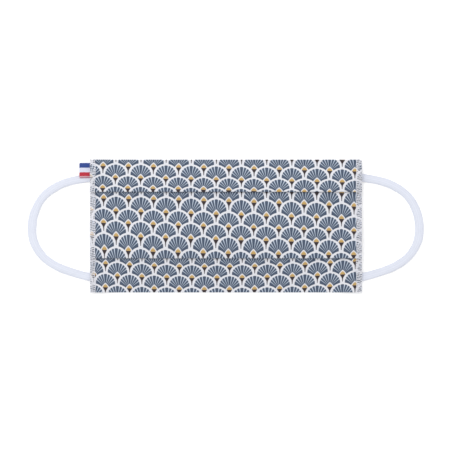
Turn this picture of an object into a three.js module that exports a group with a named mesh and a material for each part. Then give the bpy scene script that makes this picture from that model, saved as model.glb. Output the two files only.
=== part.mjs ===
// Pleated cloth face mask, lying on a table with its front up. Millimetres.
// X runs across the mask, Y up it towards the nose and Z out of its front.
// The origin is on the table, under the middle of all that is sewn together: body, side seams and tab.
import * as THREE from 'three';

// Body: one cloth wall, folded into knife pleats that open downwards
const maskWidth = 191;
const maskHeight = 93.2;
const clothWall = 1;
const pleatDepth = 15;
const pressedGap = 0.35;
const openGap = 0.6;

// Form of the lying mask: it arches off the table and its back is hollow
const hollowDepth = 7;
const seamHollowDepth = 1;
const restingStrip = 2;
const puffRun = 45;
const liftRun = 16;
const archPower = 1.3;

// Clearance between pieces that touch
const seatGap = 0.3;

// Side seams: a band of overlock thread wrapped round each raw edge
const seamWidth = 4.6;
const threadWall = 0.5;

// Ear loops: flat knitted elastic, pressed thin where its ends are sewn in
const bandWidth = 5.6;
const bandThickness = 2;
const rootThickness = 1;
const rootPressedFor = 8.5;
const bandFullAfter = 20;
const bandSides = 12;
const bandSteps = 42;

// Side tab: a short ribbon folded in half
const ribbonWidth = 10;
const ribbonWall = 0.45;
const tabReach = 7;
const tabDrop = 2.5;
const tabSkew = 0.5;

// How finely the cloth is stepped
const foldSteps = 5;
const edgeSteps = 4;
const returnSteps = 4;
const panelStep = 3.2;
const climbSteps = 7;
const puffStations = 8;
const middleStations = 3;
const seamStep = 3.2;

// Pleats from the nose down: the fold's place as a share of the mask's height from its nose edge,
// the cloth hidden behind it as a share of the pleat depth, and how much of the panel above lies
// low before it climbs over the hidden fold, as a share of its way there.
const pleats = [
  { name: 'nose pleat', foldDown: 0.2457, depth: 1, lowShare: 0 },
  { name: 'chin pleat', foldDown: 0.7446, depth: 1, lowShare: 0.25 },
];

// Centre line of an ear loop, from its upper end to its lower one: out from the side seam, and up
const earLoopRoute = [
  { out: -6.5, up: 34.2 },
  { out: 0, up: 33.9 },
  { out: 5, up: 33.1 },
  { out: 9.5, up: 32.3 },
  { out: 14.5, up: 31.1 },
  { out: 19, up: 29.6 },
  { out: 23.5, up: 27.4 },
  { out: 27.5, up: 24.9 },
  { out: 31.2, up: 21.8 },
  { out: 34.6, up: 17.6 },
  { out: 37.2, up: 12.6 },
  { out: 39.2, up: 6.8 },
  { out: 40.1, up: 0.6 },
  { out: 40.1, up: -4.5 },
  { out: 39.3, up: -9.7 },
  { out: 37.3, up: -14.6 },
  { out: 34.4, up: -19.2 },
  { out: 30.6, up: -23.2 },
  { out: 26, up: -26.5 },
  { out: 20.6, up: -29.4 },
  { out: 14.5, up: -31.7 },
  { out: 9, up: -33.5 },
  { out: 4, up: -34.9 },
  { out: 0, up: -35.7 },
  { out: -6.5, up: -36.4 },
];

const halfWidth = maskWidth / 2;
const halfHeight = maskHeight / 2;
const halfCloth = halfWidth - threadWall - seatGap;
const restingEdge = halfHeight - restingStrip;
const seamLift = rootThickness + seatGap + threadWall + seatGap;

const textile = (name, color, roughness) => (
  new THREE.MeshStandardMaterial({ name, color, roughness, metalness: 0 })
);
const printedCotton = textile('printed_cotton', 0x8d9bb4, 0.9);
const overlockThread = textile('overlock_thread', 0xe6e6ee, 0.8);
const knittedElastic = textile('knitted_elastic', 0xe8ecf8, 0.85);
const stripedRibbon = textile('striped_ribbon', 0xb9c2d6, 0.6);

// Smooth step from 0 to 1
function ease(t) {
  const s = Math.min(Math.max(t, 0), 1);
  return s * s * (3 - 2 * s);
}

// Numbers from one value to another in equal steps, both ends included
function spread(from, to, steps) {
  return Array.from({ length: steps + 1 }, (_, i) => from + ((to - from) * i) / steps);
}

// The way in from the raw side edge, past the strip that the seam covers
function pastSeam(x) {
  return halfCloth - Math.abs(x) - seamWidth;
}

// Height of the mask's back over the table
function backHeight(x, y) {
  const reach = Math.min(Math.abs(y) / restingEdge, 1);
  const arch = (1 - reach ** 2) ** archPower;
  const settled = ease(pastSeam(x) / (liftRun + (puffRun - liftRun) * arch));
  return (1 - settled) * (seamLift + seamHollowDepth * arch) + settled * hollowDepth * arch;
}

// Distance from one layer of cloth to the next: pressed at the seams, open in the middle
function layerPitch(x) {
  return clothWall + pressedGap + (openGap - pressedGap) * ease(pastSeam(x) / puffRun);
}

// Panels between the folds, from the nose down: the fold at a panel's foot, the one hidden behind it,
// where the panel starts to climb, and its steps before and after the climb
const panels = [];
for (const pleat of pleats) {
  const above = panels[panels.length - 1];
  const top = above ? above.fold : halfHeight;
  const fold = halfHeight - pleat.foldDown * maskHeight;
  const hiddenFold = fold + pleat.depth * pleatDepth;
  const climbFrom = Math.min(restingEdge, top - pleat.lowShare * (top - hiddenFold));
  const lowSteps = above ? Math.ceil((above.hiddenFold - climbFrom) / panelStep) : 0;
  const highSteps = Math.ceil((hiddenFold - fold) / panelStep);
  panels.push({ fold, hiddenFold, climbFrom, lowSteps, highSteps });
}

// How many layers a panel lies above the back: it climbs over the hidden fold of the pleat at its foot
function panelLevel(panel, y, bendOut) {
  return 2 * ease((panel.climbFrom - y) / (panel.climbFrom - (panel.hiddenFold - bendOut)));
}

// The cloth's line seen from the side at one place across the mask, as points with the way its front
// faces. Heights are over the back of the lowest layer.
function clothLine(x) {
  const pitch = layerPitch(x);
  const bendOut = clothWall / 2 + pitch / 2;
  const height = (level) => clothWall / 2 + level * pitch;
  const line = [];
  const put = (y, level, front) => line.push({ y, h: height(level), frontY: 0, frontH: front });
  const run = (from, to, steps, levelAt, front) => {
    for (const y of steps ? spread(from, to, steps).slice(0, -1) : []) put(y, levelAt(y), front);
  };
  const bend = (y, level, from, to, front) => {
    for (const angle of spread(from, to, foldSteps).slice(1, -1)) {
      const [c, s] = [Math.cos(angle), Math.sin(angle)];
      line.push({
        y: y + (pitch / 2) * c,
        h: height(level) + (pitch / 2) * s,
        frontY: front * c,
        frontH: front * s,
      });
    }
  };
  put(halfHeight - clothWall / 2, 0, 1);
  let start = restingEdge;
  for (const panel of panels) {
    const foldBend = panel.fold + bendOut;
    const hiddenBend = panel.hiddenFold - bendOut;
    const levelAt = (y) => panelLevel(panel, y, bendOut);
    run(start, panel.climbFrom, panel.lowSteps, levelAt, 1);
    run(panel.climbFrom, hiddenBend, climbSteps, levelAt, 1);
    run(hiddenBend, foldBend, panel.highSteps, levelAt, 1);
    put(foldBend, 2, 1);
    bend(foldBend, 1.5, Math.PI / 2, (Math.PI * 3) / 2, 1);
    run(foldBend, hiddenBend, returnSteps, () => 1, -1);
    put(hiddenBend, 1, -1);
    bend(hiddenBend, 0.5, Math.PI / 2, -Math.PI / 2, -1);
    start = hiddenBend;
  }
  const lastHidden = panels[panels.length - 1].hiddenFold;
  run(start, -restingEdge, Math.ceil((lastHidden + restingEdge) / panelStep), () => 0, 1);
  put(-restingEdge, 0, 1);
  put(clothWall / 2 - halfHeight, 0, 1);
  return line;
}

// Closed outline of the cloth's cut face at one place across the mask, with rounded edges
function clothOutline(x) {
  const line = clothLine(x);
  const half = clothWall / 2;
  const side = (p, way) => ({ y: p.y + way * half * p.frontY, h: p.h + way * half * p.frontH });
  const rounded = (end, way) => spread(Math.PI / 2, -Math.PI / 2, edgeSteps).slice(1, -1).map((angle) => ({
    y: end.y + way * half * Math.cos(angle),
    h: end.h + half * Math.sin(angle),
  }));
  const outline = [
    ...line.map((p) => side(p, 1)),
    ...rounded(line[line.length - 1], -1),
    ...line.map((p) => side(p, -1)).reverse(),
    ...rounded(line[0], 1).reverse(),
  ];
  return outline.map((p) => new THREE.Vector3(x, p.y, backHeight(x, p.y) + p.h));
}

// Closed body through rings of equally many points, with its two ends filled
function loft(rings, flatten) {
  const count = rings[0].length;
  const positions = rings.flat().flatMap((p) => [p.x, p.y, p.z]);
  const faces = [];
  for (let i = 0; i + 1 < rings.length; i += 1) {
    for (let j = 0; j < count; j += 1) {
      const [a, b] = [i * count + j, i * count + ((j + 1) % count)];
      faces.push([a, b, b + count], [a, b + count, a + count]);
    }
  }
  const last = (rings.length - 1) * count;
  const endFaces = (ring) => THREE.ShapeUtils.triangulateShape(rings[ring].map(flatten), []);
  const turned = THREE.ShapeUtils.isClockWise(rings[0].map(flatten));
  for (const [a, b, c] of endFaces(0)) faces.push(turned ? [a, b, c] : [a, c, b]);
  for (const [a, b, c] of endFaces(rings.length - 1)) {
    faces.push(turned ? [last + a, last + c, last + b] : [last + a, last + b, last + c]);
  }
  const geometry = new THREE.BufferGeometry();
  geometry.setAttribute('position', new THREE.Float32BufferAttribute(positions, 3));
  geometry.setIndex(faces.flat());
  return facingOut(geometry);
}

// Turns a closed body's faces outwards if they face in
function facingOut(geometry) {
  const { position } = geometry.attributes;
  const index = geometry.index.array;
  const corner = (i) => new THREE.Vector3().fromBufferAttribute(position, index[i]);
  let volume = 0;
  for (let i = 0; i < index.length; i += 3) {
    volume += corner(i).dot(corner(i + 1).cross(corner(i + 2)));
  }
  if (volume < 0) geometry.setIndex(Array.from(index).reverse());
  geometry.computeVertexNormals();
  return geometry;
}

function pleatedBody() {
  const nearSeam = [0, ...spread(seamWidth, seamWidth + puffRun, puffStations)];
  const middle = spread(seamWidth + puffRun, halfCloth, middleStations).slice(1);
  const inside = [...nearSeam, ...middle];
  const left = inside.map((d) => d - halfCloth);
  const stations = [...left, ...left.slice(0, -1).reverse().map((x) => -x)];
  return loft(stations.map(clothOutline), (p) => new THREE.Vector2(p.y, p.z));
}

// Places along a side seam with the height of its band there. Where the cloth steps down at a fold
// the band has two, and its outer face passes the step one thread wall later.
function seamPlaces() {
  const x = halfCloth;
  const bendOut = clothWall / 2 + layerPitch(x) / 2;
  const places = [];
  const stretch = (from, to, levelAt, stepBefore, stepAfter) => {
    const steps = Math.ceil((from - to) / seamStep);
    spread(from, to, steps).forEach((y, i) => {
      const atStep = (i === 0 && stepBefore) || (i === steps && stepAfter);
      const under = backHeight(x, y) - seatGap;
      const over = backHeight(x, y) + levelAt(y) * layerPitch(x) + clothWall + seatGap;
      const lean = (i === 0 && stepBefore ? -1 : 1) * threadWall;
      places.push({ y, outerY: atStep ? y - threadWall : y, underY: atStep ? y + lean : y, under, over });
    });
  };
  let from = halfHeight;
  panels.forEach((panel, i) => {
    stretch(from, panel.fold - seatGap, (y) => panelLevel(panel, y, bendOut), i > 0, true);
    from = panel.fold - seatGap;
  });
  stretch(from, -halfHeight, () => 0, true, false);
  return places;
}

// Thread band on the left (-1) or right (1) edge: a channel over the cloth's edge, open to the middle
function sideSeam(side) {
  const [inner, outer] = [halfWidth - seamWidth, halfWidth];
  const web = halfWidth - threadWall;
  const rings = seamPlaces().map(({ y, outerY, underY, under, over }) => [
    new THREE.Vector3(side * inner, underY, under - threadWall),
    new THREE.Vector3(side * outer, underY, under - threadWall),
    new THREE.Vector3(side * outer, outerY, over + threadWall),
    new THREE.Vector3(side * inner, outerY, over + threadWall),
    new THREE.Vector3(side * inner, y, over),
    new THREE.Vector3(side * web, y, over),
    new THREE.Vector3(side * web, underY, under),
    new THREE.Vector3(side * inner, underY, under),
  ]);
  return loft(rings, (p) => new THREE.Vector2(p.x, p.z));
}

// Flat oval section of the elastic, with its flats at the top and the bottom
function bandSection() {
  const flat = Math.cos(Math.PI / bandSides);
  const corners = spread(0.5, bandSides - 0.5, bandSides - 1).map((i) => {
    const angle = (i * 2 * Math.PI) / bandSides;
    const thick = (bandThickness / 2) * Math.cos(angle);
    return new THREE.Vector2(thick / flat, ((bandWidth / 2) * Math.sin(angle)) / flat);
  });
  return new THREE.Shape(corners);
}

// Elastic loop lying on the table, its ends under the left (-1) or right (1) side seam
function earLoop(side) {
  const route = earLoopRoute.map(({ out, up }) => new THREE.Vector3(side * (halfWidth + out), up, 0));
  const extrudePath = new THREE.CatmullRomCurve3(route, false, 'centripetal');
  const geometry = new THREE.ExtrudeGeometry(bandSection(), { steps: bandSteps, extrudePath });
  const { position } = geometry.attributes;
  for (let i = 0; i < position.count; i += 1) {
    const out = Math.abs(position.getX(i)) - halfWidth;
    const grown = ease((out - rootPressedFor) / (bandFullAfter - rootPressedFor));
    const thickness = rootThickness + (bandThickness - rootThickness) * grown;
    position.setZ(i, (position.getZ(i) / bandThickness + 0.5) * thickness);
  }
  return geometry;
}

// Folded ribbon beside the left seam, its two ends against the seam and its fold outwards
function ribbonTab() {
  const bottom = rootThickness + seatGap;
  const bendRadius = ribbonWall + seatGap / 2;
  const middle = bottom + bendRadius;
  const root = -halfWidth - seatGap;
  const bend = -halfWidth - tabReach + bendRadius;
  const outline = new THREE.Shape();
  outline.moveTo(root, middle + bendRadius);
  outline.lineTo(bend, middle + bendRadius);
  outline.absarc(bend, middle, bendRadius, Math.PI / 2, (Math.PI * 3) / 2, false);
  outline.lineTo(root, middle - bendRadius);
  outline.lineTo(root, middle - seatGap / 2);
  outline.absarc(bend, middle, seatGap / 2, (Math.PI * 3) / 2, Math.PI / 2, true);
  outline.lineTo(root, middle + seatGap / 2);
  outline.closePath();
  const geometry = new THREE.ExtrudeGeometry(outline, {
    depth: ribbonWidth,
    curveSegments: 6,
    bevelEnabled: false,
  });
  geometry.rotateX(Math.PI / 2);
  geometry.translate(0, halfHeight - tabDrop, 0);
  const { position } = geometry.attributes;
  for (let i = 0; i < position.count; i += 1) {
    const down = 1 - (position.getZ(i) - bottom) / (2 * bendRadius);
    position.setY(i, position.getY(i) - tabSkew * down);
  }
  return geometry;
}

// The mask, moved so that the box round body, seams and tab has its middle over the origin
const mask = new THREE.Group();
mask.position.x = tabReach / 2;

function add(name, geometry, material) {
  const mesh = new THREE.Mesh(geometry, material);
  mesh.name = name;
  mask.add(mesh);
}

add('pleated_body', pleatedBody(), printedCotton);
add('side_seam_left', sideSeam(-1), overlockThread);
add('side_seam_right', sideSeam(1), overlockThread);
add('ear_loop_left', earLoop(-1), knittedElastic);
add('ear_loop_right', earLoop(1), knittedElastic);
add('ribbon_tab', ribbonTab(), stripedRibbon);

export default mask;
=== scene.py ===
# Cloth face mask with two knife pleats, lying on a pale table with its front up.
# Metres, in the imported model's frame: X across the mask, Y up it to the nose edge, Z out of its front.
import math

import bpy
import numpy as np
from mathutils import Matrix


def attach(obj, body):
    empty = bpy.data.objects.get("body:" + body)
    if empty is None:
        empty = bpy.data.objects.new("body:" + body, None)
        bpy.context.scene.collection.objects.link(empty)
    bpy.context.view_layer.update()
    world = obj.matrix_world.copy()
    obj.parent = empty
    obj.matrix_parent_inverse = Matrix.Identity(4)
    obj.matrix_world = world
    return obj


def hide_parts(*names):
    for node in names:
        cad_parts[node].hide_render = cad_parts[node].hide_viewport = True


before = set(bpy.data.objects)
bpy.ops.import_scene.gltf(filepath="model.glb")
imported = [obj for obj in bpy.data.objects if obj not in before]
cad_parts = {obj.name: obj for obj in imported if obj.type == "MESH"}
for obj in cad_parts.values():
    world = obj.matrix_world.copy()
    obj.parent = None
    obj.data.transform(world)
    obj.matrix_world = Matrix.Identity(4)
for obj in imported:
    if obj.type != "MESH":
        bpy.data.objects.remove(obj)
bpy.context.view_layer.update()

# Camera
# The photograph looks straight down on the lying mask through a long lens. The middle of the cloth
# body is in the middle of the picture, and lies 3.5 mm to the right of the frame's origin. The
# picture is as wide as view_width at view_height over the table.
body_middle = 0.0035
view_width = 0.3164
view_height = 0.005
camera_data = bpy.data.cameras.new("camera")
camera_data.lens = 200
camera_data.sensor_width = 36
camera_data.clip_end = 10
camera = bpy.data.objects.new("camera", camera_data)
camera.location = (body_middle, 0, view_height + view_width * camera_data.lens / camera_data.sensor_width)
bpy.context.scene.collection.objects.link(camera)
bpy.context.scene.camera = camera

# Ear loops
# Each is a length of soft, flat knitted elastic in a D shape. Both of its ends are caught under the
# side seam's threads, and between them it lies loose on the table.
half_width = 0.0955
band_width = 0.0056
band_thickness = 0.002
root_thickness = 0.001
root_lift = 0.00038
root_falls_over = 0.006
root_pressed_for = 0.0085
band_full_after = 0.020
band_girth = 0.0128
bend_widens_by = 0.10
bend_half_height = 0.012
band_sides = 28
band_steps = 420
loop_length = 0.1315
loop_stretch = {"left": 1.011, "right": 1.0}
loop_route = [
    (-0.0065, 0.0342), (0.0, 0.0339), (0.005, 0.0331), (0.0095, 0.0323), (0.0145, 0.0311),
    (0.019, 0.0296), (0.0235, 0.0274), (0.0275, 0.0249), (0.0312, 0.0218), (0.0346, 0.0176),
    (0.0372, 0.0126), (0.0392, 0.0068), (0.0401, 0.0006), (0.0401, -0.0045), (0.0393, -0.0097),
    (0.0373, -0.0146), (0.0344, -0.0192), (0.0306, -0.0232), (0.026, -0.0265), (0.0206, -0.0294),
    (0.0145, -0.0317), (0.009, -0.0335), (0.004, -0.0349), (0.0, -0.0357), (-0.0065, -0.0364),
]


def paint(red, green, blue):
    """A colour as seen on screen, 0 to 255 each, as the shader's linear colour."""
    shares = [value / 255 for value in (red, green, blue)]
    linear = [s / 12.92 if s <= 0.04045 else ((s + 0.055) / 1.055) ** 2.4 for s in shares]
    return (*linear, 1)


def ease(t):
    """Smooth step from 0 to 1."""
    s = np.clip(t, 0, 1)
    return s * s * (3 - 2 * s)


def run_up(steps):
    """How far along a line each of its points is, from the lengths of its steps."""
    return np.concatenate([[0], np.cumsum(steps)])


def smooth_route(points, steps):
    """Centripetal curve through the points, as many equal steps long as asked."""
    p = np.array(points, float)
    p = np.vstack([2 * p[0] - p[1], p, 2 * p[-1] - p[-2]])
    finely = []
    for x0, x1, x2, x3 in zip(p, p[1:], p[2:], p[3:]):
        gaps = [np.linalg.norm(b - a) ** 0.5 for a, b in ((x0, x1), (x1, x2), (x2, x3))]
        t1 = ((x1 - x0) / gaps[0] - (x2 - x0) / (gaps[0] + gaps[1]) + (x2 - x1) / gaps[1]) * gaps[1]
        t2 = ((x2 - x1) / gaps[1] - (x3 - x1) / (gaps[1] + gaps[2]) + (x3 - x2) / gaps[2]) * gaps[1]
        t = np.linspace(0, 1, 60, endpoint=False)[:, None]
        c2 = -3 * x1 + 3 * x2 - 2 * t1 - t2
        c3 = 2 * x1 - 2 * x2 + t1 + t2
        finely.append(x1 + t1 * t + c2 * t**2 + c3 * t**3)
    finely = np.vstack(finely + [p[-2:-1]])
    run = run_up(np.linalg.norm(np.diff(finely, axis=0), axis=1))
    even = np.linspace(0, run[-1], steps + 1)
    return np.column_stack([np.interp(even, run, finely[:, i]) for i in range(p.shape[1])])


def ring_faces(rings, around):
    """Faces of a tube of rings of equally many points, with its ends filled."""
    faces = []
    for i in range(rings - 1):
        for j in range(around):
            k = (j + 1) % around
            faces.append((i * around + j, i * around + k, (i + 1) * around + k, (i + 1) * around + j))
    faces.append(tuple(range(around - 1, -1, -1)))
    faces.append(tuple((rings - 1) * around + j for j in range(around)))
    return faces


def tube_map(run, girth):
    """Coordinates of a tube's points, ring by ring: along it and round it."""
    return np.stack(np.broadcast_arrays(run[:, None], girth[None, :]), -1).reshape(-1, 2)


def make_piece(name, points, faces, materials):
    """A smooth mesh piece that lies still with the mask, with its materials and the record's slot."""
    mesh = bpy.data.meshes.new(name)
    mesh.from_pydata([tuple(point) for point in points], [], faces)
    mesh.update()
    mesh.shade_smooth()
    for material in materials:
        mesh.materials.append(material)
    piece = bpy.data.objects.new(name, mesh)
    bpy.context.scene.collection.objects.link(piece)
    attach(piece, "root")
    return piece


def lay_out(piece, name, coordinates):
    """A UV map that gives each point of the mesh two coordinates of its own."""
    layer = piece.data.uv_layers.new(name=name)
    corners = np.empty(len(piece.data.loops), dtype=int)
    piece.data.loops.foreach_get("vertex_index", corners)
    layer.data.foreach_set("uv", np.asarray(coordinates, np.float32)[corners].ravel())


class Wire:
    """A number on its way through a node tree, so that a pattern is written as arithmetic."""

    def __init__(self, tree, socket):
        self.tree = tree
        self.socket = socket

    def math(self, operation, *others, first=None):
        """One Math node on this number, or on another one first."""
        node = self.tree.nodes.new("ShaderNodeMath")
        node.operation = operation
        values = [self, *others] if first is None else [first, self]
        for socket, value in zip(node.inputs, values):
            if isinstance(value, Wire):
                self.tree.links.new(value.socket, socket)
            else:
                socket.default_value = value
        return Wire(self.tree, node.outputs[0])

    def __add__(self, other):
        return self.math("ADD", other)

    def __radd__(self, other):
        return self.math("ADD", other)

    def __sub__(self, other):
        return self.math("SUBTRACT", other)

    def __rsub__(self, other):
        return self.math("SUBTRACT", first=other)

    def __mul__(self, other):
        return self.math("MULTIPLY", other)

    def __truediv__(self, other):
        return self.math("DIVIDE", other)

    def __pow__(self, other):
        return self.math("POWER", other)

    def __abs__(self):
        return self.math("ABSOLUTE")

    def share(self):
        """This number held between 0 and 1."""
        return self.math("MAXIMUM", 0.0).math("MINIMUM", 1.0)


def group(name, inputs, outputs):
    """An empty node group with number, vector or colour sockets, and its inputs as wires."""
    tree = bpy.data.node_groups.new(name, "ShaderNodeTree")
    kinds = {"number": "NodeSocketFloat", "vector": "NodeSocketVector", "colour": "NodeSocketColor"}
    for title, (kind, value) in inputs.items():
        socket = tree.interface.new_socket(title, in_out="INPUT", socket_type=kinds[kind])
        if value is not None:
            socket.default_value = value
    for title, kind in outputs.items():
        tree.interface.new_socket(title, in_out="OUTPUT", socket_type=kinds[kind])
    entry = tree.nodes.new("NodeGroupInput")
    leave = tree.nodes.new("NodeGroupOutput")
    return tree, {title: Wire(tree, entry.outputs[title]) for title in inputs}, leave


def split(tree, vector):
    """The X and Y of a vector."""
    node = tree.nodes.new("ShaderNodeSeparateXYZ")
    tree.links.new(vector.socket, node.inputs[0])
    return Wire(tree, node.outputs[0]), Wire(tree, node.outputs[1])


def mix(tree, share, under, over):
    """One colour laid over another by a share."""
    node = tree.nodes.new("ShaderNodeMix")
    node.data_type = "RGBA"
    for socket, value in ((node.inputs[0], share), (node.inputs[6], under), (node.inputs[7], over)):
        if isinstance(value, Wire):
            tree.links.new(value.socket, socket)
        else:
            socket.default_value = value
    return Wire(tree, node.outputs[2])


def noise(tree, vector, scale, detail=2.0):
    """Soft noise round 0.5, by a vector in metres."""
    node = tree.nodes.new("ShaderNodeTexNoise")
    node.inputs["Scale"].default_value = scale
    node.inputs["Detail"].default_value = detail
    tree.links.new(vector.socket, node.inputs["Vector"])
    return Wire(tree, node.outputs[0])


def map_of(tree, name):
    """A UV map of the piece, as a wire."""
    node = tree.nodes.new("ShaderNodeUVMap")
    node.uv_map = name
    return Wire(tree, node.outputs[0])


def use(tree, node_group, inputs):
    """A group placed in a material, with its inputs, and its outputs as wires."""
    node = tree.nodes.new("ShaderNodeGroup")
    node.node_tree = node_group
    for title, value in inputs.items():
        if isinstance(value, Wire):
            tree.links.new(value.socket, node.inputs[title])
        else:
            node.inputs[title].default_value = value
    return {socket.name: Wire(tree, socket) for socket in node.outputs}


def textile(name, roughness, sheen):
    """A matt cloth material with a little sheen, and its shader."""
    material = bpy.data.materials.new(name)
    material.use_nodes = True
    shader = material.node_tree.nodes["Principled BSDF"]
    shader.inputs["Roughness"].default_value = roughness
    shader.inputs["Sheen Weight"].default_value = sheen
    shader.inputs["Sheen Roughness"].default_value = 0.5
    shader.inputs["Specular IOR Level"].default_value = 0.2
    return material, material.node_tree, shader


def dress(tree, shader, colour, height, depth):
    """Colour and relief, in metres of height, joined to the shader."""
    tree.links.new(colour.socket, shader.inputs["Base Color"])
    bump = tree.nodes.new("ShaderNodeBump")
    bump.inputs["Distance"].default_value = depth
    bump.inputs["Strength"].default_value = 1.0
    tree.links.new(height.socket, bump.inputs["Height"])
    tree.links.new(bump.outputs[0], shader.inputs["Normal"])


def knit_group():
    """Columns of small V stitches along the elastic: their height, and how open they are, which the
    elastic uses for painted shade between stitches.
    """
    tree, wires, leave = group(
        "knit",
        {"Place": ("vector", None), "Column": ("number", 0.0008), "Row": ("number", 0.0007)},
        {"Height": "number", "Open": "number"},
    )
    along, across = split(tree, wires["Place"])
    column = (across / wires["Column"]).math("FRACT")
    slant = abs(column - 0.5)
    stitch = ((along / wires["Row"] + slant) * (2 * math.pi)).math("SINE") * 0.5 + 0.5
    rib = (slant * math.pi * 2).math("COSINE") * -0.5 + 0.5
    valley = 1 - (slant * 2) ** 4.0
    height = (stitch * 0.55 + (1 - rib) * 0.15 + 0.3) * valley
    tree.links.new(height.socket, leave.inputs["Height"])
    tree.links.new((1 - height).share().socket, leave.inputs["Open"])
    return tree


knit = knit_group()
elastic, elastic_tree, elastic_shader = textile("knitted_elastic", 0.85, 0.35)
elastic_map = map_of(elastic_tree, "cloth")
elastic_stitches = use(elastic_tree, knit, {"Place": elastic_map})
# Painted shade between the stitches, with a little random tone.
elastic_shade = elastic_stitches["Open"] * 0.5 + noise(elastic_tree, elastic_map, 180.0) * 0.2
elastic_colour = mix(elastic_tree, elastic_shade, paint(232, 236, 247), paint(206, 210, 226))
dress(elastic_tree, elastic_shader, elastic_colour, elastic_stitches["Height"], 0.00012)

for side, side_name in ((-1, "left"), (1, "right")):
    stretch = loop_stretch[side_name]
    centre = smooth_route(
        [(body_middle + side * (half_width + out * stretch), up, 0) for out, up in loop_route], band_steps
    )
    beyond = np.abs(centre[:, 0] - body_middle) - half_width
    grown = ease((beyond - root_pressed_for) / (band_full_after - root_pressed_for))
    thickness = root_thickness + (band_thickness - root_thickness) * grown
    lift = root_lift * (1 - ease(beyond / root_falls_over))
    centre[:, 2] = thickness / 2 + lift
    run = np.linspace(0, loop_length, band_steps + 1)
    ahead = np.gradient(centre[:, :2], axis=0)
    ahead /= np.linalg.norm(ahead, axis=1)[:, None]
    across = np.column_stack([-ahead[:, 1], ahead[:, 0], np.zeros(len(ahead))])
    flattened = bend_widens_by * np.exp(-((centre[:, 1] / bend_half_height) ** 2))
    width = band_width * (1 + flattened + 0.02 * np.sin(run * 260 + side) + 0.012 * np.sin(run * 613))
    turn = np.linspace(0, 2 * math.pi, band_sides, endpoint=False)
    sideways = np.sign(np.cos(turn)) * np.abs(np.cos(turn)) ** 0.8
    upwards = np.sign(np.sin(turn)) * np.abs(np.sin(turn)) ** 0.9
    rings = (
        centre[:, None, :]
        + across[:, None, :] * (width[:, None] / 2 * sideways)[:, :, None]
        + np.array([0, 0, 1]) * (thickness[:, None] / 2 * upwards)[:, :, None]
    )
    loop = make_piece(
        f"elastic_loop_{side_name}",
        rings.reshape(-1, 3),
        ring_faces(band_steps + 1, band_sides),
        [elastic],
    )
    lay_out(loop, "cloth", tube_map(run, np.cumsum(np.full(band_sides, band_girth / band_sides))))
    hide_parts(f"ear_loop_{side_name}")

# Cloth body
# Two plies of cotton, the outer one printed with rows of fans and the lining white. It is folded
# into two knife pleats that open downwards, pressed, and arches a little off the table. The cloth's
# middle line runs where the middle of the solid's thicker wall does.
half_height = 0.0466
wall = 0.00075
solid_wall = 0.001
pleat_depth = 0.015
pressed_gap = 0.00025
open_gap = 0.00040
hollow_depth = 0.007
seam_hollow_depth = 0.001
resting_strip = 0.002
puff_run = 0.045
lift_run = 0.016
arch_power = 1.3
seam_width = 0.0046
half_cloth = half_width - 0.0004
resting_edge = half_height - resting_strip
seam_lift = 0.0021
wave_height = 0.00010
pull_height = 0.00007
pull_reach = 0.006
waves_stop_before = 0.004
waves_full_at = 0.001
stations = 190
fold_steps = 12
edge_steps = 8
return_steps = 14
climb_steps = 24
panel_step = 0.0009

# A fold lies fold_down of the body's height below its top edge. The cloth above a pleat stays low
# for low_share of the way down to it, and then climbs over the pleat's layers.
pleats = [
    {"fold_down": 0.2457, "low_share": 0.0},
    {"fold_down": 0.7446, "low_share": 0.25},
]

# Where rows of gold drops lie up the mask in each panel, at its left, middle and right, with each
# row's number counted along the cloth, hidden rows too. The cloth was pleated a little askew, so the
# columns drift to the right, by an amount at each panel's left and right and more towards its top.
fan_radius = 0.008785
row_step = 1.04
drop_below_centre = 0.225
fan_column = -0.08613
print_reach = 0.0878
printed_rows = [
    [
        (0, (0.0430, 0.0413, 0.0392)),
        (1, (0.0349, 0.0330, 0.0314)),
        (2, (0.0275, 0.0259, 0.0237)),
    ],
    [
        (6, (0.0204, 0.0181, 0.0148)),
        (7, (0.0117, 0.0088, 0.0057)),
        (8, (0.0034, 0.0002, -0.0027)),
        (9, (-0.0057, -0.0085, -0.0106)),
        (10, (-0.0154, -0.0182, -0.0192)),
    ],
    [
        (14, (-0.0254, -0.0279, -0.0240)),
        (15, (-0.0337, -0.0355, -0.0326)),
        (16, (-0.0418, -0.0438, -0.0407)),
    ],
]
column_drift = [(-0.0001, 0.0006), (0.0002, 0.0000), (0.0006, 0.0009)]
column_tilt = 0.012
corner_drift = 0.0013
corner_from = 0.010
corner_run = 0.030


def past_seam(x):
    """The way in from the raw side edge, past the strip that the seam covers."""
    return half_cloth - abs(x) - seam_width


def back_height(x, y):
    """Height of the mask's back over the table."""
    reach = np.minimum(np.abs(y) / resting_edge, 1)
    arch = (1 - reach**2) ** arch_power
    settled = ease(past_seam(x) / (lift_run + (puff_run - lift_run) * arch))
    return (1 - settled) * (seam_lift + seam_hollow_depth * arch) + settled * hollow_depth * arch


def layer_pitch(x):
    """Distance from one layer of cloth to the next."""
    return wall + pressed_gap + (open_gap - pressed_gap) * ease(past_seam(x) / puff_run)


panels = []
for pleat in pleats:
    top = panels[-1]["fold"] if panels else half_height
    fold = half_height - pleat["fold_down"] * 2 * half_height
    hidden = fold + pleat_depth
    climb_from = min(resting_edge, top - pleat["low_share"] * (top - hidden))
    low = math.ceil((panels[-1]["hidden"] - climb_from) / panel_step) if panels else 0
    high = math.ceil(pleat_depth / panel_step)
    panels.append({"fold": fold, "hidden": hidden, "climb_from": climb_from, "low": low, "high": high})


def row_along(panel, x, y):
    """The print's row at a place on a panel, rows counted along the cloth."""
    s = x / print_reach
    numbers = [row for row, _ in printed_rows[panel]]
    places = [
        middle + (right - left) / 2 * s + ((left + right) / 2 - middle) * s * s
        for _, (left, middle, right) in printed_rows[panel]
    ]
    part = sum(y <= place for place in places[1:-1])
    slope = (numbers[part + 1] - numbers[part]) / (places[part + 1] - places[part])
    return numbers[part] + (y - places[part]) * slope


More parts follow.
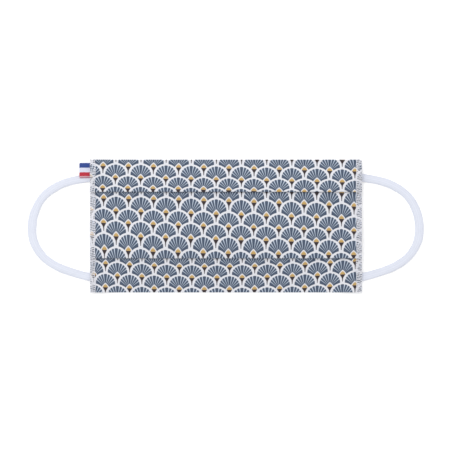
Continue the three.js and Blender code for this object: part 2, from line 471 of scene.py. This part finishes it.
def drift_at(panel, x, y):
    """How far the print's columns lie to the right of their even places, most at the lower left."""
    s = x / print_reach
    left, right = column_drift[panel]
    panel_middle = printed_rows[panel][len(printed_rows[panel]) // 2][1][1]
    corner = corner_drift * ease((corner_from - y) / corner_run) * max(-s, 0) ** 5
    return (left + right) / 2 + (right - left) / 2 * s + column_tilt * (y - panel_middle) + corner


def cloth_line(x):
    """The cloth's middle line at one place: y, height, front normal, print row and print drift."""
    pitch = layer_pitch(x)
    bend_out = solid_wall / 2 + pitch / 2
    line = []

    def put(y, level, front_y, front_h, panel=None):
        row = math.nan if panel is None else row_along(panel, x, y)
        drift = math.nan if panel is None else drift_at(panel, x, y)
        line.append((y, solid_wall / 2 + level * pitch, front_y, front_h, row, drift))

    def run(start, end, steps, level_at, front, panel=None):
        for y in np.linspace(start, end, steps, endpoint=False) if steps else []:
            put(y, level_at(y), 0, front, panel)

    def bend(y, level, start, end, front):
        for angle in np.linspace(start, end, fold_steps + 1)[1:-1]:
            c, s = math.cos(angle), math.sin(angle)
            flat_c = math.copysign(abs(c) ** 0.7, c)
            h = solid_wall / 2 + (level + s / 2) * pitch
            line.append((y + pitch / 2 * flat_c, h, front * c, front * s, math.nan, math.nan))

    put(half_height - wall / 2, 0, 0, 1, 0)
    start = resting_edge
    for number, panel in enumerate(panels):
        fold_bend = panel["fold"] + bend_out
        hidden_bend = panel["hidden"] - bend_out

        def level_at(y):
            return 2 * ease((panel["climb_from"] - y) / (panel["climb_from"] - hidden_bend))

        run(start, panel["climb_from"], panel["low"], level_at, 1, number)
        run(panel["climb_from"], hidden_bend, climb_steps, level_at, 1, number)
        run(hidden_bend, fold_bend, panel["high"], level_at, 1, number)
        put(fold_bend, 2, 0, 1, number)
        bend(fold_bend, 1.5, math.pi / 2, math.pi * 1.5, 1)
        run(fold_bend, hidden_bend, return_steps, lambda y: 1, -1)
        put(hidden_bend, 1, 0, -1)
        bend(hidden_bend, 0.5, math.pi / 2, -math.pi / 2, -1)
        start = hidden_bend
    run(start, -resting_edge, math.ceil((start + resting_edge) / panel_step), lambda y: 0, 1, len(pleats))
    put(-resting_edge, 0, 0, 1, len(pleats))
    put(wall / 2 - half_height, 0, 0, 1, len(pleats))
    return np.array(line)


def unevenness(x, y):
    """Small waves of hand-pressed cloth, and the pull of the seams, as a change of height."""
    waves = (
        np.sin(x * 95 + y * 60) * np.sin(y * 130 - x * 28 + 1.3)
        + 0.6 * np.sin(x * 171 + 2.1) * np.sin(y * 83 + x * 40)
        + 0.4 * np.sin(x * 290 - y * 210)
    )
    pull = np.exp(-np.maximum(past_seam(x), 0) / pull_reach) * np.sin(y * 830 + np.sign(x) * 1.1)
    return wave_height * waves + pull_height * pull


def cloth_section(x):
    """Closed outline of the cloth at one place across the mask, with its map and print coordinates."""
    line = cloth_line(x)
    y, h, front_y, front_h, row, drift = line.T
    run = run_up(np.hypot(np.diff(y), np.diff(h + back_height(x, y))))
    run -= run[len(run) // 2]
    known = ~np.isnan(row)
    row = np.interp(run, run[known], row[known])
    drift = np.interp(run, run[known], drift[known])
    half = wall / 2

    def side(way):
        return y + way * half * front_y, h + way * half * front_h

    def rounded(end, way):
        angles = np.linspace(math.pi / 2, -math.pi / 2, edge_steps + 1)[1:-1]
        return y[end] + way * half * np.cos(angles), h[end] + half * np.sin(angles)

    front, back = side(1), side(-1)
    chin, nose = rounded(-1, -1), rounded(0, 1)
    ys = np.concatenate([front[0], chin[0], back[0][::-1], nose[0][::-1]])
    hs = np.concatenate([front[1], chin[1], back[1][::-1], nose[1][::-1]])
    ends = edge_steps - 1
    runs = np.concatenate([run, np.full(ends, run[-1]), run[::-1], np.full(ends, run[0])])
    rows = np.concatenate([row, np.full(ends, row[-1]), row[::-1], np.full(ends, row[0])])
    drifts = np.concatenate([drift, np.full(ends, drift[-1]), drift[::-1], np.full(ends, drift[0])])
    inside_seam = ease(past_seam(x) / waves_stop_before + 1)
    off_table = ease(back_height(x, ys) / waves_full_at)
    zs = back_height(x, ys) + hs + unevenness(x, ys) * inside_seam * off_table
    points = np.column_stack([np.full(len(ys), x + body_middle), ys, np.maximum(zs, 0)])
    cloth = np.column_stack([np.full(len(ys), x), runs])
    columns = (x - drifts - fan_column) / fan_radius
    printed = np.column_stack([columns, rows * row_step + drop_below_centre])
    return points, cloth, printed, len(y)


def weave_group():
    """Plain weave: warp and weft pass over and under each other; their height, and a tone that is low in
    the gaps between threads and varies with slubs.
    """
    tree, wires, leave = group(
        "plain_weave",
        {"Place": ("vector", None), "Thread": ("number", 0.0004)},
        {"Height": "number", "Tone": "number"},
    )
    across, along = split(tree, wires["Place"])
    u = across / wires["Thread"] * math.pi
    v = along / wires["Thread"] * math.pi
    over = u.math("COSINE") * v.math("COSINE") * 0.5 + 0.5
    warp = abs(u.math("SINE")) ** 0.6 * over
    weft = abs(v.math("SINE")) ** 0.6 * (1 - over)
    height = warp.math("MAXIMUM", weft)
    slub = noise(tree, wires["Place"], 900.0, 1.0)
    tree.links.new(height.socket, leave.inputs["Height"])
    tree.links.new((height * 0.7 + slub * 0.6 - 0.1).share().socket, leave.inputs["Tone"])
    return tree


def fans_group():
    """Rows of overlapping white scallops, each with a blue fan, rays and a gold drop on a stem.

    Lengths are in radii of a scallop, and angles in degrees.
    """
    tree, wires, leave = group(
        "fan_print",
        {
            "Across": ("number", 0.0),
            "Along": ("number", 0.0),
            "Ground": ("colour", paint(234, 235, 241)),
            "Petals": ("colour", paint(78, 91, 111)),
            "Rays": ("colour", paint(208, 221, 238)),
            "Gold": ("colour", paint(204, 165, 92)),
            "Cream": ("colour", paint(244, 230, 204)),
            "Brown": ("colour", paint(60, 50, 50)),
        },
        {"Colour": "colour"},
    )
    across, along = wires["Across"], wires["Along"]
    hub_below = 0.36
    first_ray = 8.5
    ray_step = 13.2
    drop_border = -0.34

    def inked(depth, softness=0.03):
        """How far inside an edge the ink is full."""
        return (depth / softness + 0.5).share()

    row = ((along + 1) / row_step).math("FLOOR")
    low_up = row * row_step - along
    low_side = (across + row.math("FLOORED_MODULO", 2.0)).math("WRAP", 1.0, -1.0)
    on_low = (low_side * low_side + low_up * low_up).math("LESS_THAN", 1.0)
    high_side = (low_side + 1).math("WRAP", 1.0, -1.0)
    side = abs(high_side + on_low * (low_side - high_side))
    up = low_up - row_step + on_low * row_step
    from_centre = (side * side + up * up).math("SQRT")
    rise = up + hub_below
    from_hub = (side * side + rise * rise).math("SQRT")
    angle = side.math("ARCTAN2", rise) * (180 / math.pi)
    place = (angle - first_ray) / ray_step
    ray = place.math("ROUND").math("MAXIMUM", 0.0).math("MINIMUM", 3.0)
    off_ray = abs(place - ray)
    near_ray = (1 - off_ray * 2).share()
    tip = 0.856 - (near_ray ** 2.0) * 0.05 - angle * 0.0007
    petals = inked((tip - from_centre).math("MINIMUM", (80 - angle) * 0.006))
    ray_width = from_hub * from_hub * 0.027 + 0.004
    rays = inked(ray_width - off_ray * (ray_step * math.pi / 180) * from_hub)
    drop_top = ((0.07 - up) / 0.34).share() ** 0.75 * 0.31
    drop_foot = ((up + 0.60) / 0.30).share() * 0.31
    halo = inked(drop_top.math("MINIMUM", drop_foot) - side - 0.015)
    gold_width = ((-0.03 - up) / 0.25).share() ** 0.65 * 0.2225
    gold = inked((gold_width - side - 0.02).math("MINIMUM", up - drop_border), 0.04)
    brown_width = ((up + 0.70) / 0.36).share() * 0.200 + 0.050
    brown_reach = (drop_border - up).math("MINIMUM", up + 0.80)
    brown = inked((brown_width - side - 0.02).math("MINIMUM", brown_reach), 0.04)
    stem_side = abs(high_side)
    stem_up = low_up - row_step
    stem_width = 0.036 + (stem_up + 0.9) * 0.06
    stem_reach = (-0.45 - stem_up).math("MINIMUM", stem_up + 0.99)
    stem = inked((stem_width - stem_side).math("MINIMUM", stem_reach))
    shine = ((up + 0.31) / 0.25).share()
    colour = mix(tree, petals, wires["Ground"], wires["Petals"])
    colour = mix(tree, petals * rays * ((from_hub - 0.26) / 0.25).share(), colour, wires["Rays"])
    colour = mix(tree, halo, colour, wires["Ground"])
    colour = mix(tree, stem * 0.85, colour, wires["Brown"])
    colour = mix(tree, brown, colour, wires["Brown"])
    colour = mix(tree, gold, colour, mix(tree, shine * shine * 0.6, wires["Gold"], wires["Cream"]))
    tree.links.new(colour.socket, leave.inputs["Colour"])
    return tree


weave = weave_group()
fans = fans_group()

cotton, cotton_tree, cotton_shader = textile("printed_cotton", 0.9, 0.1)
cotton_cloth = map_of(cotton_tree, "cloth")
cotton_weave = use(cotton_tree, weave, {"Place": cotton_cloth, "Thread": 0.00038})
print_across, print_along = split(cotton_tree, map_of(cotton_tree, "print"))
bleed_across = noise(cotton_tree, cotton_cloth, 2600.0) * 0.022 - 0.011
bleed_along = noise(cotton_tree, cotton_cloth, 2100.0) * 0.022 - 0.011
fan_place = {"Across": print_across + bleed_across, "Along": print_along + bleed_along}
cotton_print = use(cotton_tree, fans, fan_place)
# Painted shade in the gaps between threads, with a little random tone of the cloth.
cotton_shade = (1 - cotton_weave["Tone"]) * 0.2 + noise(cotton_tree, cotton_cloth, 60.0) * 0.06
cotton_colour = mix(cotton_tree, cotton_shade, cotton_print["Colour"], paint(58, 58, 72))
dress(cotton_tree, cotton_shader, cotton_colour, cotton_weave["Height"], 0.00006)

lining, lining_tree, lining_shader = textile("white_lining", 0.9, 0.1)
lining_cloth = map_of(lining_tree, "cloth")
lining_weave = use(lining_tree, weave, {"Place": lining_cloth, "Thread": 0.00042})
lining_tone = lining_weave["Tone"] * 0.4 + noise(lining_tree, lining_cloth, 90.0) * 0.15
lining_colour = mix(lining_tree, lining_tone, paint(226, 226, 230), paint(192, 193, 202))
dress(lining_tree, lining_shader, lining_colour, lining_weave["Height"], 0.00007)

sections = [cloth_section(x) for x in np.linspace(-half_cloth, half_cloth, stations + 1)]
around = len(sections[0][0])
line_count = sections[0][3]
body = make_piece(
    "cloth_body",
    np.vstack([points for points, _, _, _ in sections]),
    ring_faces(stations + 1, around),
    [cotton, lining],
)
lay_out(body, "cloth", np.vstack([cloth for _, cloth, _, _ in sections]))
lay_out(body, "print", np.vstack([printed for _, _, printed, _ in sections]))
lining_from = line_count + edge_steps // 2
lining_to = lining_from + line_count + edge_steps // 2 - 2
for face in body.data.polygons:
    place = face.vertices[0] % around
    face.material_index = int(lining_from <= place < lining_to and len(face.vertices) == 4)
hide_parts("pleated_body")

# Side seams
# The raw edge on each side is bound with three threads of overlock stitch: one looper over the
# front, one over the back, and a needle thread in short stitches down the inner line. The looper at
# the back passes under the elastic where its ends are caught.
thread_radius = 0.00017
thread_sides = 6
thread_curve_steps = 3
stitch = 0.00122
last_stitch = 0.0002
stitch_unevenness = 0.00014
inner_wave = 0.00025
thread_bedding = thread_radius * 0.9
edge_rounding = 0.0003
edge_settling = 0.00006
seam_end_margin = 0.0004
needle_inside = 0.0002
inner_line = {"left": 0.0038, "right": 0.0043}
elastic_ends = (0.0340, -0.0359)
elastic_bridged_over = 0.0012

thread, thread_tree, thread_shader = textile("overlock_thread", 0.75, 0.2)
thread_map = map_of(thread_tree, "cloth")
thread_along, thread_around = split(thread_tree, thread_map)
twist = ((thread_along / 0.0005 + thread_around) * (2 * math.pi)).math("SINE") * 0.5 + 0.5
# Darker in the grooves of the twist as painted shade, and at random along the thread.
thread_tone_and_groove_shade = (1 - twist) * 0.35 + noise(thread_tree, thread_map, 700.0) * 0.3
thread_colour = mix(thread_tree, thread_tone_and_groove_shade, paint(252, 252, 255), paint(214, 215, 230))
dress(thread_tree, thread_shader, thread_colour, twist, 0.00005)


def curve_through(points, steps):
    """A smooth line through points, with as many steps from each to the next as asked."""
    p = np.array(points, float)
    before = np.vstack([2 * p[0] - p[1], p[:-1]])
    after = np.vstack([p[1:], 2 * p[-1] - p[-2]])
    slope = (after - before) / 2
    t = np.linspace(0, 1, steps, endpoint=False)[None, :, None]
    a, b, ta, tb = (q[:, None, :] for q in (p[:-1], p[1:], slope[:-1], slope[1:]))
    leaving = a * (2 * t**3 - 3 * t**2 + 1) + ta * (t**3 - 2 * t**2 + t)
    line = leaving + b * (3 * t**2 - 2 * t**3) + tb * (t**3 - t**2)
    return np.vstack([line.reshape(-1, 3), p[-1:]])


def thread_rings(line, radius, sides):
    """Rings of points round a line in space, without twist from one to the next."""
    ahead = np.gradient(line, axis=0)
    ahead /= np.linalg.norm(ahead, axis=1)[:, None]
    turn = np.linspace(0, 2 * math.pi, sides, endpoint=False)
    normal = np.cross(ahead[0], (0.3, 0.5, 0.8))
    rings = []
    for point, way in zip(line, ahead):
        normal = normal - way * np.dot(normal, way)
        normal /= np.linalg.norm(normal)
        other = np.cross(way, normal)
        rings.append(point + radius * (np.outer(np.cos(turn), normal) + np.outer(np.sin(turn), other)))
    return np.vstack(rings)


def seam_top(x, y):
    """Height of the cloth's front on the seam strip, over all its layers."""
    pitch = layer_pitch(x)
    bend_out = solid_wall / 2 + pitch / 2
    level = 0.0
    for panel in panels:
        if y > panel["fold"]:
            reach = panel["climb_from"] - (panel["hidden"] - bend_out)
            level = 2 * ease((panel["climb_from"] - y) / reach)
            break
    return back_height(x, y) + level * pitch + solid_wall / 2 + wall / 2


def soft_top(x, y):
    """The front's height for a thread, which bridges the step at a fold."""
    return np.mean([seam_top(x, y + d) for d in (-0.0006, -0.0003, 0, 0.0003, 0.0006)])


def seam_foot(y):
    """Height of the looper under the seam, which passes below the elastic where that is caught."""
    under_cloth = back_height(half_cloth, y) + solid_wall / 2 - wall / 2 - thread_bedding
    off_elastic = min(abs(y - end) for end in elastic_ends) - band_width / 2
    caught = ease(1 - off_elastic / elastic_bridged_over)
    return under_cloth + caught * (root_lift - thread_bedding - under_cloth)


def round_the_edge(y, step, face, middle, way, bulge):
    """Where a looper goes out round the raw edge from its face of the cloth and comes back."""
    outer = half_cloth + thread_radius
    return [
        (outer - edge_rounding, y - step * 0.36, face - way * edge_settling),
        (outer, y - step * 0.44, (face + middle) / 2),
        (outer + bulge, y - step * 0.5, middle + way * thread_radius),
        (outer, y - step * 0.56, (face + middle) / 2),
        (outer - edge_rounding, y - step * 0.64, face - way * edge_settling),
    ]


count = round(2 * half_height / stitch)
spots = np.linspace(half_height - seam_end_margin, -half_height + seam_end_margin, count + 1)
rng = np.random.default_rng(7)
for side, side_name in ((-1, "left"), (1, "right")):
    jitter = rng.normal(0, 1, (count + 1, 6))
    outer = half_cloth + thread_radius
    front_points, back_points, needle_points = [], [], []
    for i, y in enumerate(spots):
        step = stitch if i < count else last_stitch
        wobble = jitter[i] * stitch_unevenness
        inner = half_width - inner_line[side_name] + inner_wave * math.sin(y * 310 + side)
        between = (inner + outer) / 2
        rise = soft_top(half_cloth, y) + thread_bedding
        foot = seam_foot(y)
        middle = (rise + foot) / 2
        front_points += [
            (inner + wobble[0] * 1.6, y, rise + 0.0001),
            (between, y - step * 0.2 + wobble[1], rise),
            *round_the_edge(y, step, rise, middle, 1, abs(wobble[2]) * 0.5),
            (between + wobble[3], y - step * 0.78 + wobble[4], rise),
        ]
        back_points += [
            (inner + wobble[1], y, foot),
            (between, y - step * 0.2 + wobble[2], foot),
            *round_the_edge(y, step, foot, middle, -1, abs(wobble[5]) * 0.5),
            (between, y - step * 0.78, foot),
        ]
        needle = inner + needle_inside + wobble[3] * 0.4
        needle_points += [
            (needle, y - step * 0.08, rise + thread_radius * 1.2),
            (needle, y - step * 0.5, rise + thread_radius * 1.6),
            (needle, y - step * 0.92, rise + thread_radius * 1.2),
            (inner + needle_inside, y - step, rise - thread_radius),
        ]
    points, faces, maps = [], [], []
    for line_points in (front_points, back_points, needle_points):
        line = curve_through(line_points, thread_curve_steps)
        line[:, 0] = body_middle + side * line[:, 0]
        rings = thread_rings(line, thread_radius, thread_sides)
        start = sum(len(p) for p in points)
        points.append(rings)
        faces += [tuple(start + k for k in face) for face in ring_faces(len(line), thread_sides)]
        run = run_up(np.linalg.norm(np.diff(line, axis=0), axis=1))
        maps.append(tube_map(run, np.arange(thread_sides) / thread_sides))
    seam = make_piece(f"overlock_seam_{side_name}", np.vstack(points), faces, [thread])
    lay_out(seam, "cloth", np.vstack(maps))
    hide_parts(f"side_seam_{side_name}")

# Ribbon tab
# A short piece of grosgrain ribbon woven with a blue, a white and a red stripe, folded in half and
# sewn into the left seam over the upper end of the elastic.
ribbon_width = 0.0097
ribbon_wall = 0.00036
tab_reach = 0.00735
tab_root = 0.003
tab_top = half_height - 0.0024
tab_skew = 0.0010
tab_middle = 0.00177
tab_gap = 0.00004
tab_puff = 0.00036
tab_steps = 28
tab_columns = 60
blue_ends = 0.345
red_starts = 0.671
highlit_selvedge_starts = 0.958
fold_along = 0.0103
selvedge_thins_by = 0.35


def ribbon_line():
    """Middle line of the folded ribbon, from its upper end round the fold to its lower end."""
    root = -half_width + tab_root
    bend = -half_width - tab_reach + tab_puff + ribbon_wall / 2
    places = np.linspace(root, bend, tab_steps + 1)
    opened = ribbon_wall / 2 + tab_gap / 2
    spread = opened + (tab_puff - opened) * ease((root - places) / (root - bend) * 1.2 - 0.2)
    upper = [(x, tab_middle + d, 0.0, 1.0) for x, d in zip(places[:-1], spread[:-1])]
    lower = [(x, tab_middle - d, 0.0, -1.0) for x, d in zip(places[:-1], spread[:-1])]
    fold = []
    for angle in np.linspace(math.pi / 2, math.pi * 1.5, 17):
        c, s = math.cos(angle), math.sin(angle)
        fold.append((bend + tab_puff * c, tab_middle + tab_puff * s, c, s))
    return np.array(upper + fold + lower[::-1])


ribbon, ribbon_tree, ribbon_shader = textile("striped_ribbon", 0.6, 0.15)
ribbon_map = map_of(ribbon_tree, "cloth")
ribbon_along, ribbon_across = split(ribbon_tree, ribbon_map)
rib = (ribbon_along / 0.00045 * (2 * math.pi)).math("SINE") * 0.5 + 0.5
fibre = noise(ribbon_tree, ribbon_map, 2400.0)
border = (rib - 0.5) * 0.018 + (noise(ribbon_tree, ribbon_map, 500.0) - 0.5) * 0.03
from_top = ribbon_across / ribbon_width + border
blue_part = ((blue_ends - from_top) * 60 + 0.5).share()
red_part = ((from_top - red_starts) * 60 + 0.5).share()
# A pale pink line along the ribbon's lower edge: its selvedge, partly a painted highlight.
selvedge_and_highlight = ((from_top - highlit_selvedge_starts) * 60 + 0.5).share()
ribbon_colour = mix(ribbon_tree, blue_part, paint(234, 236, 253), paint(8, 62, 146))
ribbon_colour = mix(ribbon_tree, red_part, ribbon_colour, paint(200, 3, 30))
ribbon_colour = mix(ribbon_tree, selvedge_and_highlight * 0.85, ribbon_colour, paint(255, 226, 238))
# The layer folded under is greyed towards mauve: partly its duller wrong side, partly painted shade from
# the layer over it.
lower_layer_wrong_side_and_shade = ((ribbon_along - fold_along) * 4000).share()
ribbon_colour = mix(ribbon_tree, lower_layer_wrong_side_and_shade * 0.5, ribbon_colour, paint(176, 150, 170))
ribbon_shade = (1 - rib) * 0.22 + fibre * 0.12
ribbon_colour = mix(ribbon_tree, ribbon_shade, ribbon_colour, paint(120, 116, 140))
dress(ribbon_tree, ribbon_shader, ribbon_colour, rib * 0.8 + fibre * 0.3, 0.00009)

line = ribbon_line()
run = run_up(np.hypot(np.diff(line[:, 0]), np.diff(line[:, 1])))
along = np.concatenate([run, run[::-1]])
down = ease((run / run[-1] - 0.5) * 12 + 0.5)
tab_rings, tab_map = [], []
for column in np.linspace(0, 1, tab_columns + 1):
    half = ribbon_wall / 2 * (1 - selvedge_thins_by * max(0, 1 - min(column, 1 - column) * 40))
    wave = 0.00006 * np.sin(run * 900 + column * 3) + 0.00005 * math.sin(column * 9)
    y = tab_top - column * ribbon_width - tab_skew * down
    faces_of_ribbon = []
    for way in (1, -1):
        out = way * half
        faces_of_ribbon.append(
            np.column_stack([line[:, 0] + out * line[:, 2], y, line[:, 1] + out * line[:, 3] + wave])
        )
    tab_rings.append(np.vstack([faces_of_ribbon[0], faces_of_ribbon[1][::-1]]))
    tab_map.append(np.column_stack([along, np.full(len(along), column * ribbon_width)]))
tab_points = np.vstack(tab_rings)
tab_points[:, 0] += body_middle
tab_faces = ring_faces(tab_columns + 1, len(tab_rings[0]))
tab = make_piece("ribbon_tab_woven", tab_points, tab_faces, [ribbon])
lay_out(tab, "cloth", np.vstack(tab_map))
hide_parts("ribbon_tab")

# Table and light
# A plain white table that glows a little, as a light table does, so that shadows on it stay faint.
# Soft studio light comes from all round and, more strongly, from above the nose edge, so that each
# fold throws a thin shadow down the mask.
table_half = 3.0
table_height = -0.0001
table_glow = 0.16
room_light = 0.80
key_power = 7.8
key_place = (-0.3, 0.62, 1.25)
key_tilt = -28.8
key_turn = 25

floor_mesh = bpy.data.meshes.new("table_top")
table_corners = [(-1, -1), (1, -1), (1, 1), (-1, 1)]
table_points = [(x * table_half, y * table_half, table_height) for x, y in table_corners]
floor_mesh.from_pydata(table_points, [], [(0, 1, 2, 3)])
floor = bpy.data.objects.new("table_top", floor_mesh)
bpy.context.scene.collection.objects.link(floor)
floor_material = bpy.data.materials.new("white_table")
floor_material.use_nodes = True
floor_tree = floor_material.node_tree
floor_shader = floor_tree.nodes["Principled BSDF"]
floor_shader.inputs["Roughness"].default_value = 0.9
floor_shader.inputs["Specular IOR Level"].default_value = 0.1
floor_shader.inputs["Base Color"].default_value = (0.99, 0.99, 0.99, 1)
floor_shader.inputs["Emission Color"].default_value = (1, 1, 1, 1)
floor_shader.inputs["Emission Strength"].default_value = table_glow
floor_mesh.materials.append(floor_material)

world = bpy.data.worlds.new("studio")
world.use_nodes = True
background = world.node_tree.nodes["Background"]
background.inputs["Color"].default_value = (1, 1, 1, 1)
background.inputs["Strength"].default_value = room_light
bpy.context.scene.world = world

key_data = bpy.data.lights.new("key", "AREA")
key_data.shape = "RECTANGLE"
key_data.size = 1.1
key_data.size_y = 0.8
key_data.energy = key_power
key = bpy.data.objects.new("key", key_data)
key.location = key_place
key.rotation_euler = (math.radians(key_tilt), 0, math.radians(key_turn))
bpy.context.scene.collection.objects.link(key)

bpy.context.scene.view_settings.view_transform = "Standard"
